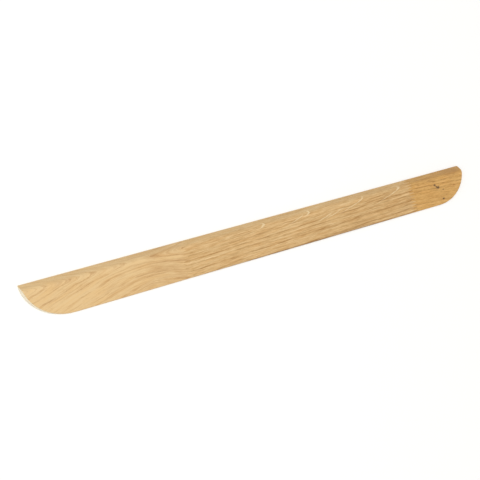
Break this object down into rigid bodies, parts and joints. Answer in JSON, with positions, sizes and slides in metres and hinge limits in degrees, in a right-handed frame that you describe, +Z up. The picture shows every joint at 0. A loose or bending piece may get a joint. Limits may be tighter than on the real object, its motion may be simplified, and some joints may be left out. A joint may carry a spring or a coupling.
{
  "type": "threshold strip",
  "caption": "Low oak threshold strip with a steep back slope, a long front ramp and swept ends, finger-jointed from staves and held down by foam tape.",
  "frame": {"origin": "on the floor under the middle of the strip, halfway along its length and halfway across its width", "axes": "+X along the length to the right end, +Y across to the steep back edge, +Z up from the underside"},
  "size_m": [0.85, 0.06, 0.0104],
  "materials": {
    "pale_oak": "fine-sanded pale oak with a matt oil, warm straw colour and cathedral grain",
    "straw_oak": "fine-sanded oak with a matt oil, straight brown grain and pale ray flecks",
    "honey_oak": "fine-sanded oak with a matt oil, more orange, short pores and pin knots",
    "foam_tape": "closed-cell foam tape, sticky on both faces",
    "liner_paper": "silicone-coated release paper, satin"
  },
  "bodies": {
    "root": {"left_stave": "pale_oak", "middle_stave": "straw_oak", "right_stave": "honey_oak", "rear_foam_tape": "foam_tape", "front_foam_tape": "foam_tape", "rear_tape_liner": "liner_paper", "front_tape_liner": "liner_paper"}
  },
  "joints": []
}
